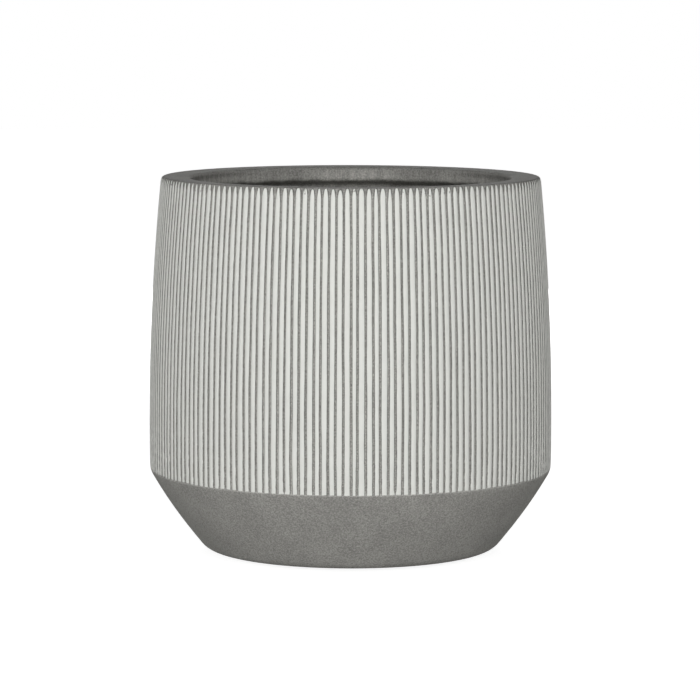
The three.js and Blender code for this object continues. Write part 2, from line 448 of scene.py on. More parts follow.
class RibField:
    """The hand-cut ribs: where each groove runs, how wide it is, and how each rib ends."""

    def __init__(self, sizes: CastingSizes, ribs: RibSizes, rng: np.random.Generator) -> None:
        """Draws what is random about the ribs.

        Args:
            sizes: The casting's sizes.
            ribs: The ribs' sizes.
            rng: The source of random numbers.
        """
        self.sizes = sizes
        self.ribs = ribs
        count = ribs.count
        self.places = rng.normal(0.0, ribs.place_jitter, count)
        self.slow = Drift(rng, count, ribs.slow_spacing, ribs.slow_drift)
        self.quick = Drift(rng, count, ribs.quick_spacing, ribs.quick_drift)
        self.widths = rng.normal(0.0, ribs.width_jitter, 2 * count)
        self.width_slow = Drift(rng, 2 * count, ribs.slow_width_spacing, ribs.width_jitter)
        self.width_quick = Drift(rng, 2 * count, ribs.quick_width_spacing, ribs.quick_width_jitter)
        self.tip_heights = ribs.tip_height - np.abs(rng.normal(0.0, ribs.tip_fall, count))
        self.tip_lengths = ribs.tip_length * rng.uniform(*ribs.tip_length_range, count)
        self.tip_powers = ribs.tip_bluntness * rng.uniform(*ribs.tip_bluntness_range, count)
        self.pinched = rng.uniform(0, 1, count) < ribs.pinched_share
        self.pinch_tops = ribs.pinch_length * rng.uniform(*ribs.pinch_length_range, count)
        self.depths = rng.uniform(*ribs.depth_range, count)

    def middle(self, groove: np.ndarray, height: np.ndarray) -> np.ndarray:
        """Distance round the wall to the middle of each groove."""
        pitch = 2 * math.pi * self.sizes.wall_radius(height) / self.ribs.count
        line = groove % self.ribs.count
        even = (groove + self.places[line]) * pitch
        return even + self.slow.at(line, height) + self.quick.at(line, height)

    def half_width(self, groove: np.ndarray, side: int, height: np.ndarray) -> np.ndarray:
        """Half the width of each groove, on its low or high side. It narrows towards the rim."""
        line = 2 * (groove % self.ribs.count) + side
        stray = self.widths[line] + self.width_slow.at(line, height) + self.width_quick.at(line, height)
        share = (height - self.sizes.kink_height) / (self.sizes.height - self.sizes.kink_height)
        even = self.ribs.groove_half_width * (1 - self.ribs.groove_narrowing * share)
        return np.maximum(even + stray, self.ribs.least_half_groove)

    def fullness(self, rib: np.ndarray, height: np.ndarray) -> np.ndarray:
        """Share of its full width that each rib has, from 1 on the wall to 0 past its blunt tip."""
        below = self.tip_heights[rib] - height
        left = np.clip(below / self.tip_lengths[rib], 0.0, 1.0)
        blunt = self.ribs.tip_width * np.clip(below / self.ribs.tip_end, 0.0, 1.0)
        return blunt + (1 - self.ribs.tip_width) * (1 - (1 - left) ** self.tip_powers[rib])

    def openness(self, groove: np.ndarray, height: np.ndarray) -> np.ndarray:
        """Share of its width that each groove has: a pinched one closes before the kink."""
        line = groove % self.ribs.count
        above = (height - self.sizes.kink_height) / self.pinch_tops[line]
        return np.where(self.pinched[line], np.clip(above, self.ribs.pinched_openness, 1.0), 1.0)

    def shape(self, angle: np.ndarray, radius: np.ndarray, height: np.ndarray) -> tuple[np.ndarray, ...]:
        """Moves the wall's even columns of vertices to the ribs' flanks and floors.

        Args:
            angle: The vertices' even angles.
            radius: Their radii on the crests.
            height: Their heights.

        Returns:
            New angles, new radii, and the distance inside the nearest rib's edge.
        """
        ribs = self.ribs
        column = np.rint(angle * ribs.count * ribs.columns / (2 * math.pi)).astype(int)
        column %= ribs.count * ribs.columns
        low, place_in_pitch = np.divmod(column, ribs.columns)
        high = low + 1
        wall = self.sizes.wall_radius(height)
        low_middle = self.middle(low, height)
        high_middle = self.middle(high, height)
        low_edge = low_middle + self.half_width(low, 1, height) * self.openness(low, height)
        high_edge = high_middle - self.half_width(high, 0, height) * self.openness(high, height)
        crest = (low_edge + high_edge) / 2
        half_rib = (high_edge - low_edge) / 2 * self.fullness(low, height)
        half_rib = np.maximum(half_rib, ribs.least_half_rib)

        # From the groove's middle outwards: floor edge, flank, shoulder, crest, and the rib's middle
        half = ribs.columns // 2
        from_middle = np.minimum(place_in_pitch, ribs.columns - place_in_pitch)
        on_low_side = place_in_pitch <= half
        width = np.where(on_low_side, crest - half_rib - low_middle, high_middle - crest - half_rib)
        offsets = np.array([0.0, *ribs.flank_offsets, 0.0, 0.0])[from_middle]
        room = np.where(offsets < 0, width / ribs.full_half_groove, half_rib / ribs.full_half_rib)
        inside = np.select(
            [from_middle == 0, from_middle == half - 1, from_middle == half],
            [-width, half_rib * ribs.crest_share, half_rib],
            offsets * np.clip(room, ribs.least_room, 1),
        )
        reach = width + inside
        around = np.where(on_low_side, low_middle + reach, high_middle - reach)

        grown = np.clip((height - self.sizes.kink_height) / ribs.run_out, 0.0, 1.0)
        own_groove = np.where(on_low_side, low, high) % ribs.count
        depth = ribs.groove_depth * self.depths[own_groove] * grown * (2 - grown)
        floor = np.minimum(radius, wall - depth)
        share = np.array(ribs.depth_shares)[from_middle]
        return around / wall, radius - share * (radius - floor), inside


class PotCasting:
    """The fibre cement casting, in one piece."""

    def __init__(self, sizes: CastingSizes, ribs: RibSizes) -> None:
        """Keeps the sizes and works out the outline.

        Args:
            sizes: The casting's sizes.
            ribs: The ribs' sizes.
        """
        self.sizes = sizes
        self.ribs = ribs
        self.rng = np.random.default_rng(SEED)
        kink = self.kink_arc()
        middle = len(kink) // 2
        self.ribbed_from = kink[middle][1]
        self.ribbed_to = sizes.height - sizes.ribs_end_below
        self.outline = [
            *self.foot_outline(),
            *kink,
            *self.wall_outline(kink[-1][1]),
            *self.rim_outline(),
            *self.inside_outline(),
            *self.drain_outline(),
        ]

    def corners(self) -> tuple[Point, Point, Point]:
        """The foot's base corner, the point its curve leans to, and the kink's corner."""
        sizes = self.sizes
        base = (sizes.base_radius, sizes.underside)
        kink = (sizes.wall_radius(sizes.kink_height), sizes.kink_height)
        lean = ((base[0] + kink[0]) / 2 + 2 * sizes.foot_bulge, (base[1] + kink[1]) / 2)
        return base, lean, kink

    def kink_arc(self) -> list[Point]:
        """The rounding between foot and wall."""
        _, lean, kink = self.corners()
        return rounded(lean, kink, (kink[0], self.sizes.height), self.sizes.kink_radius, steps=10)

    def foot_outline(self) -> list[Point]:
        """From the recess under the pot, over the foot ring and up the foot's side."""
        sizes = self.sizes
        base, lean, kink = self.corners()
        ring = base[0] - sizes.foot_ring_width
        edge = rounded((0.0, base[1]), base, lean, sizes.base_edge_radius, steps=8)
        side = []
        for share in spread(0.2, 0.8, steps=5):
            first = Vector(base).lerp(Vector(lean), share)
            second = Vector(lean).lerp(Vector(kink), share)
            middle = first.lerp(second, share)
            side.append((middle.x, middle.y))
        recess_edge = (ring - sizes.recess_depth, sizes.underside + sizes.recess_depth)
        ring_middle = ((ring + edge[0][0]) / 2, sizes.underside)
        return [recess_edge, (ring, sizes.underside), ring_middle, *edge, *side]

    def wall_outline(self, start: float) -> list[Point]:
        """Crest line of the ribbed wall, with closer rows where the ribs narrow to tips."""
        sizes = self.sizes
        even_rows, tip_rows = 27, 8
        tips_from = sizes.height - sizes.tip_rows_below
        rounding_from = sizes.height - sizes.rim_edge_radius
        heights = spread(start, tips_from, even_rows)[1:]
        heights += spread(tips_from, rounding_from, tip_rows)[1:-1]
        return [(sizes.wall_radius(height), height) for height in heights]

    def rim_outline(self) -> list[Point]:
        """Over the rim: its outer rounding and its flat."""
        sizes = self.sizes
        top = (sizes.rim_radius, sizes.height)
        below = (sizes.rim_radius, sizes.lip_bottom)
        edge = rounded(below, top, (sizes.mouth_radius, sizes.height), sizes.rim_edge_radius, steps=8)
        flat_middle = (sizes.rim_radius + sizes.mouth_radius) / 2
        return [*edge, (flat_middle, sizes.height - sizes.rim_fall / 2)]

    def inside_outline(self) -> list[Point]:
        """Down the inside, from the mouth's edge under the lip to the floor."""
        sizes = self.sizes
        base, _, kink = self.corners()
        slope = (Vector(kink) - Vector(base)).normalized()
        inward = Vector((-slope.y, slope.x)) * sizes.wall_thickness
        offset_base = Vector(base) + inward
        floor_corner = offset_base + slope * ((sizes.floor_top - offset_base.y) / slope.y)
        inner_kink = offset_base + slope * ((kink[0] - sizes.wall_thickness - offset_base.x) / slope.x)

        def inner_wall(height: float) -> Point:
            """A point of the wall's inner face."""
            return sizes.wall_radius(height) - sizes.wall_thickness, height

        rim = (sizes.rim_radius, sizes.height)
        mouth = (sizes.mouth_radius, sizes.height - sizes.rim_fall)
        lip = (sizes.mouth_radius, sizes.lip_bottom)
        undercut = inner_wall(sizes.lip_bottom - sizes.lip_underside_drop)
        widest = inner_wall(sizes.widest_height)
        middle = (0.0, sizes.floor_top)
        mouth_edge = rounded(rim, mouth, lip, sizes.mouth_edge_radius, steps=6)
        lip_edge = rounded(mouth, lip, undercut, sizes.lip_underside_radius, steps=6)
        arc = rounded(lip, undercut, widest, sizes.undercut_radius, steps=5)
        kink_arc = rounded(widest, inner_kink, floor_corner, sizes.inner_kink_radius, steps=6)
        corner = rounded(inner_kink, floor_corner, middle, sizes.floor_corner_radius, steps=6)
        lip_rows = spread(mouth_edge[-1][1], lip_edge[0][1], steps=3)[1:-1]
        wall_rows = spread(arc[-1][1], kink_arc[0][1], steps=12)[1:-1]
        floor_rows = spread(corner[-1][0], sizes.seat_radius, steps=5)[1:-1]
        return [
            *mouth_edge,
            *((sizes.mouth_radius, height) for height in lip_rows),
            *lip_edge,
            tuple((Vector(lip_edge[-1]) + Vector(arc[0])) / 2),
            *arc,
            *map(inner_wall, wall_rows),
            *kink_arc,
            *corner,
            *((radius, sizes.floor_top) for radius in floor_rows),
        ]

    def drain_outline(self) -> list[Point]:
        """Down through the stopper's seat and the drain hole to the recess underneath."""
        sizes = self.sizes
        recess_top = sizes.underside + sizes.recess_depth
        seat_top, seat = (sizes.seat_radius, sizes.floor_top), (sizes.seat_radius, sizes.seat_height)
        hole_top, hole = (sizes.drain_radius, sizes.seat_height), (sizes.drain_radius, recess_top)
        floor, recess = (sizes.mouth_radius, sizes.floor_top), (sizes.mouth_radius, recess_top)
        recess_middle = (sizes.drain_radius + sizes.base_radius - sizes.foot_ring_width) / 2
        return [
            *rounded(floor, seat_top, seat, sizes.drain_edge_radius, steps=3),
            seat,
            hole_top,
            *rounded(hole_top, hole, recess, sizes.drain_edge_radius, steps=3),
            (recess_middle, recess_top),
        ]

    def is_ribbed(self, radius: np.ndarray, height: np.ndarray) -> np.ndarray:
        """Whether places are on the ribbed part of the outside."""
        outside = radius > self.sizes.wall_radius(height) - self.sizes.wall_thickness / 2
        return outside & (height > self.ribbed_from - NEAR) & (height < self.ribbed_to + NEAR)

    def blank(self) -> bpy.types.Object:
        """Turns the outline into one pitch of the wall, thins its plain rows and repeats it.

        Returns:
            The casting with a plain wall, and its columns of vertices even.
        """
        pitch = 2 * math.pi / self.ribs.count
        piece = draw_outline("planter_casting", self.outline, closed=True)
        with editing(piece):
            bpy.ops.mesh.spin(steps=self.ribs.columns, angle=pitch, center=(0, 0, 0), axis=(0, 0, 1))

        slack = 0.01

        def between_plain_rows(first: Vector, second: Vector) -> bool:
            """Whether an edge inside the pitch runs up between rows that have no ribs."""
            angles = [abs(math.atan2(co.y, co.x)) / pitch for co in (first, second)]
            if abs(angles[0] - angles[1]) > slack or not slack < angles[0] < 1 - slack:
                return False
            return not all(self.is_ribbed(math.hypot(co.x, co.y), co.z) for co in (first, second))

        with editing(piece):
            pick_edges(piece, between_plain_rows)
            bpy.ops.mesh.dissolve_edges(use_verts=True)
        with editing(piece):
            copies = self.ribs.count - 1
            bpy.ops.mesh.spin(
                steps=copies, dupli=True, angle=pitch * copies, center=(0, 0, 0), axis=(0, 0, 1)
            )
        close_up(piece)
        return piece

    def build(self) -> bpy.types.Object:
        """Makes the casting, with its ribs, its uneven lip and the marks for its finish.

        Returns:
            The finished mesh object.
        """
        sizes = self.sizes
        piece = self.blank()
        mesh = piece.data
        places = np.empty(len(mesh.vertices) * 3)
        mesh.vertices.foreach_get("co", places)
        places = places.reshape(-1, 3)
        radius = np.hypot(places[:, 0], places[:, 1])
        height = places[:, 2].copy()
        angle = np.arctan2(places[:, 1], places[:, 0]) % (2 * math.pi)
        ribbed = self.is_ribbed(radius, height)
        field = RibField(sizes, self.ribs, self.rng)
        rib_edge = np.full(len(radius), NOT_RIBBED)
        angle[ribbed], radius[ribbed], rib_edge[ribbed] = field.shape(
            angle[ribbed], radius[ribbed], height[ribbed]
        )
        lip = self.lip_share(radius, height)
        rise = ring_wave(self.rng, angle, sizes.lip_edge_waves, sizes.lip_edge_swing) + sizes.lip_edge_rise
        height += lip * rise * faded(sizes.height - height, sizes.lip_swing_fade)
        radius += lip * ring_wave(self.rng, angle, sizes.lip_face_waves, sizes.lip_face_swing)
        places = np.column_stack((radius * np.cos(angle), radius * np.sin(angle), height))
        mesh.vertices.foreach_set("co", places.ravel())
        self.mark(mesh, Mark.RIB_EDGE, rib_edge / MM)
        self.mark(mesh, Mark.LIP, lip)
        self.mark(mesh, Mark.RIM_EDGE, self.rim_edge_share(radius, height))
        mesh.update()
        smooth(piece, crease=75)
        return piece

    def lip_share(self, radius: np.ndarray, height: np.ndarray) -> np.ndarray:
        """How much places belong to the lip's inner face and its underside, from 0 to 1."""
        sizes = self.sizes
        inner = radius < sizes.wall_radius(height) - sizes.wall_thickness / 2
        from_top = faded(sizes.height - height, sizes.lip_top_fade)
        return inner * from_top * faded(sizes.lip_bottom - height, sizes.lip_foot_fade)

    def rim_edge_share(self, radius: np.ndarray, height: np.ndarray) -> np.ndarray:
        """How much places belong to the rim's outer edge and the cement between the tips, 0 to 1: where the
        finish paints shade.
        """
        sizes = self.sizes
        outside = faded(sizes.rim_radius - radius, sizes.rim_inner_fade)
        return outside * faded(sizes.height - height, sizes.rim_lower_fade)

    @staticmethod
    def mark(mesh: bpy.types.Mesh, mark: Mark, values: np.ndarray) -> None:
        """Writes a vertex attribute, with one value for each vertex."""
        attribute = mesh.attributes.new(mark.value, "FLOAT", "POINT")
        attribute.data.foreach_set("value", values.astype(np.float32))


@dataclass(frozen=True)
class StopperSizes:
    """Sizes of the rubber stopper. Its top, bottom and head radius come from the frame."""

    top: float
    bottom: float
    head_radius: float
    head_thickness: float = 4 * MM
    head_edge_radius: float = 0.8 * MM
    shank_top_radius: float = 11.1 * MM
    shank_bottom_radius: float = 10.1 * MM
    bead_radius: float = 11.7 * MM
    bead_heights: tuple[float, ...] = (7.5 * MM, 10.0 * MM)
    bead_half_height: float = 0.6 * MM
    bore_radius: float = 6 * MM
    crown_thickness: float = 6 * MM
    dish_radius: float = 13 * MM
    dish_depth: float = 2.2 * MM
    dish_edge_radius: float = 0.5 * MM
    dish_floor_radius: float = 1.2 * MM
    core_radius: float = 1 * MM
    shank_edge_radius: float = 0.6 * MM
    small_edge_radius: float = 0.4 * MM
    bar_width: float = 6 * MM
    bar_sink: float = 0.6 * MM
    bar_inset: float = 0.4 * MM
    bar_edge_radius: float = 0.7 * MM


class DrainStopper:
    """The moulded rubber stopper that lifts out of the drain hole."""

    round_steps = 96

    def __init__(self, sizes: StopperSizes) -> None:
        """Keeps the stopper's sizes."""
        self.sizes = sizes

    def outline(self) -> list[Point]:
        """From the hollow core, down round the shank, up the head and into its dish."""
        sizes = self.sizes
        head_bottom = sizes.top - sizes.head_thickness
        bore_top = sizes.top - sizes.crown_thickness
        fall = (sizes.shank_top_radius - sizes.shank_bottom_radius) / (head_bottom - sizes.bottom)
        beads = []
        for height in sizes.bead_heights:
            shank = sizes.shank_bottom_radius + fall * (height - sizes.bottom)
            for share in spread(-1, 1, steps=6):
                bulge = (sizes.bead_radius - shank) * math.sqrt(max(1 - share**2, 0))
                beads.append((shank + bulge, height + share * sizes.bead_half_height))
        dish_floor = sizes.top - sizes.dish_depth
        inner = sizes.dish_radius - sizes.dish_depth
        core_top, core_foot = (sizes.bore_radius, bore_top), (sizes.bore_radius, sizes.bottom)
        low, neck = (sizes.shank_bottom_radius, sizes.bottom), (sizes.shank_top_radius, head_bottom)
        foot, rim = (sizes.head_radius, head_bottom), (sizes.head_radius, sizes.top)
        dish, dish_corner = (sizes.dish_radius, sizes.top), (inner, dish_floor)
        return [
            (0.0, bore_top),
            *rounded((0.0, bore_top), core_top, core_foot, sizes.core_radius, steps=3),
            *rounded(core_top, core_foot, low, sizes.small_edge_radius, steps=2),
            *rounded(core_foot, low, beads[0], sizes.shank_edge_radius, steps=3),
            *beads,
            neck,
            *rounded(neck, foot, rim, sizes.small_edge_radius, steps=3),
            *rounded(foot, rim, (0.0, sizes.top), sizes.head_edge_radius, steps=4),
            *rounded(rim, dish, dish_corner, sizes.dish_edge_radius, steps=3),
            *rounded(dish, dish_corner, (0.0, dish_floor), sizes.dish_floor_radius, steps=4),
            (0.0, dish_floor),
        ]

    def grip_bar(self) -> bpy.types.Object:
        """The bar across the dish, with rounded edges.

        Returns:
            The bar, sunk a little into the dish's floor and walls.
        """
        sizes = self.sizes
        tall = sizes.dish_depth + sizes.bar_sink
        deselect_all()
        bpy.ops.mesh.primitive_cube_add(size=1, location=(0, 0, sizes.top - tall / 2))
        bar = bpy.context.object
        bar.scale = (2 * (sizes.dish_radius - sizes.bar_inset), sizes.bar_width, tall)
        bpy.ops.object.transform_apply(location=True, scale=True)
        with editing(bar):
            pick_edges(bar, lambda first, second: min(first.z, second.z) > sizes.top - NEAR)
            bpy.ops.mesh.bevel(offset=sizes.bar_edge_radius, segments=4)
        return bar

    def build(self) -> bpy.types.Object:
        """Makes the stopper: turned body and grip bar, joined into one solid.

        Returns:
            The finished mesh object.
        """
        body = turned("drain_stopper", self.outline(), self.round_steps)
        bar = self.grip_bar()
        apply_modifier(body, "BOOLEAN", operation="UNION", solver="EXACT", object=bar)
        bpy.data.objects.remove(bar)
        close_up(body)
        smooth(body, crease=40)
        return body


class FloorPads:
    """The rubber pads under the foot ring: one is modelled, and the others are copies of it."""

    nodes = ("floor_pad_1", "floor_pad_2", "floor_pad_3", "floor_pad_4")
    edge_radius = 0.6 * MM
    ring_depth = 0.35 * MM
    ring_width = 0.9 * MM
    ring_radii = (2.6 * MM, 5.2 * MM, 7.8 * MM)
    round_steps = 64

    def outline(self, radius: float, thickness: float) -> list[Point]:
        """From the middle of the grooved underside, round the edge to the top's middle."""
        rings = []
        for middle in self.ring_radii:
            low, high = middle - self.ring_width / 2, middle + self.ring_width / 2
            slope = self.ring_depth / 2
            floor = [(low + slope, self.ring_depth), (high - slope, self.ring_depth)]
            rings += [(low, 0.0), *floor, (high, 0.0)]
        edge = rounded((0.0, 0.0), (radius, 0.0), (radius, thickness), self.edge_radius, steps=4)
        top = rounded((radius, 0.0), (radius, thickness), (0.0, thickness), self.edge_radius / 2, steps=3)
        return [(0.0, 0.0), *rings, *edge, *top, (0.0, thickness)]

    def build(self) -> list[bpy.types.Object]:
        """Makes the four pads.

        Returns:
            The pads, in the order of their nodes.
        """
        boxes = [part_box(node) for node in self.nodes]
        first_low, first_high = boxes[0]
        outline = self.outline((first_high.x - first_low.x) / 2, first_high.z - first_low.z)
        first = turned("rubber_pad_1", outline, self.round_steps)
        smooth(first, crease=40)
        pads = [first]
        for number in range(2, len(boxes) + 1):
            select_only(first)
            bpy.ops.object.duplicate()
            pad = bpy.context.object
            pad.name = pad.data.name = f"rubber_pad_{number}"
            pads.append(pad)
        for pad, (low, high) in zip(pads, boxes):
            pad.location = ((low.x + high.x) / 2, (low.y + high.y) / 2, 0.0)
            select_only(pad)
            bpy.ops.object.transform_apply(location=True)
        return pads


# Finishes


@dataclass(frozen=True)
class Step:
    """A smooth step: what it gives goes from start, at low, to end, at high."""

    low: float
    high: float
    start: float = 0.0
    end: float = 1.0


@dataclass(frozen=True)
class Noise:
    """Smooth noise: a feature's width in metres, and the number and strength of finer layers."""

    size: float
    detail: float = 2.0
    rough: float = 0.5


class NodeSheet:
    """The nodes of a material or world, with a short call for each kind of node in use."""

    def __init__(self, owner: bpy.types.Material | bpy.types.World) -> None:
        """Starts on the nodes of a new material or world."""
        owner.use_nodes = True
        self.owner = owner
        self.tree = owner.node_tree

    @cached_property
    def place(self) -> bpy.types.NodeSocket:
        """The place on the object."""
        return self.node("TexCoord", "Object", {})

    def feed(self, socket: bpy.types.NodeSocket, value: object) -> None:
        """Links or sets an input socket."""
        if isinstance(value, bpy.types.NodeSocket):
            self.tree.links.new(value, socket)
        else:
            socket.default_value = value

    def node(
        self, kind: str, output: str, inputs: dict[str | int, object], **settings: str
    ) -> bpy.types.NodeSocket:
        """Adds a node.

        Args:
            kind: Its type, without the word that every type starts with.
            output: The name of the output to give.
            inputs: What its inputs are linked or set to, by name or number.
            **settings: Its other settings by name.

        Returns:
            The output.
        """
        node = self.tree.nodes.new(f"ShaderNode{kind}")
        for name, setting in settings.items():
            setattr(node, name, setting)
        for name, value in inputs.items():
            self.feed(node.inputs[name], value)
        return node.outputs[output]

    def stretched(self, scale: Scale) -> bpy.types.NodeSocket:
        """The place on the object, with each axis scaled by itself."""
        return self.node("Mapping", "Vector", {"Vector": self.place, "Scale": scale})

    def noise(self, noise: Noise, at: bpy.types.NodeSocket | None = None) -> bpy.types.NodeSocket:
        """Smooth noise from 0 to 1, read at the place on the object or at another."""
        inputs = {"Scale": 1 / noise.size, "Detail": noise.detail, "Roughness": noise.rough}
        return self.node("TexNoise", "Fac", {"Vector": at or self.place, **inputs})

    def cells(self, size: float) -> bpy.types.NodeSocket:
        """Distance to the nearest of scattered points, in cells."""
        return self.node("TexVoronoi", "Distance", {"Vector": self.place, "Scale": 1 / size})

    def mark(self, mark: Mark) -> bpy.types.NodeSocket:
        """A vertex attribute's value."""
        return self.node("Attribute", "Fac", {}, attribute_name=mark.value)

    def axis(self, name: str) -> bpy.types.NodeSocket:
        """The place on the object along one axis."""
        return self.node("SeparateXYZ", name, {"Vector": self.place})

    def math(self, operation: str, first: object, *others: object) -> bpy.types.NodeSocket:
        """A sum, product or other operation on values, in their order."""
        for other in others:
            first = self.node("Math", "Value", {0: first, 1: other}, operation=operation)
        return first

    def ramp(self, value: object, step: Step) -> bpy.types.NodeSocket:
        """A smooth step that follows a value."""
        inputs = {"From Min": step.low, "From Max": step.high, "To Min": step.start, "To Max": step.end}
        return self.node("MapRange", "Result", {"Value": value, **inputs}, interpolation_type="SMOOTHSTEP")

    def mix(self, share: object, first: object, second: object) -> bpy.types.NodeSocket:
        """A mix of two colours, the second by a share."""
        node = self.tree.nodes.new("ShaderNodeMix")
        node.data_type = "RGBA"
        self.feed(node.inputs["Factor"], share)
        colours = [socket for socket in node.inputs if socket.type == "RGBA"]
        for socket, colour in zip(colours, (first, second)):
            self.feed(socket, (*colour, 1.0) if isinstance(colour, tuple) else colour)
        return next(socket for socket in node.outputs if socket.type == "RGBA")

    def scaled(self, colour: object, *factors: bpy.types.NodeSocket) -> bpy.types.NodeSocket:
        """A colour made darker or lighter by factors."""
        for factor in factors:
            colour = self.node("VectorMath", "Vector", {0: colour, "Scale": factor}, operation="SCALE")
        return colour

    def seen(self) -> bpy.types.NodeSocket:
        """1 for rays that show the background: camera, glossy and transmission rays."""
        names = ("Is Camera Ray", "Is Glossy Ray", "Is Transmission Ray")
        return self.math("MAXIMUM", *(self.node("LightPath", name, {}) for name in names))

    def finish(
        self, colour: bpy.types.NodeSocket, roughness: object, relief: bpy.types.NodeSocket, specular: float
    ) -> bpy.types.Material:
        """Feeds the shader.

        Args:
            colour: The surface's colour.
            roughness: Its roughness.
            relief: Its fine relief, in metres.
            specular: Its specular level.

        Returns:
            The finished material.
        """
        inputs = {
            "Base Color": colour,
            "Roughness": roughness,
            "Specular IOR Level": specular,
            "Normal": self.node("Bump", "Normal", {"Distance": 1.0, "Height": relief}),
        }
        for name, value in inputs.items():
            self.feed(self.tree.nodes["Principled BSDF"].inputs[name], value)
        return self.owner


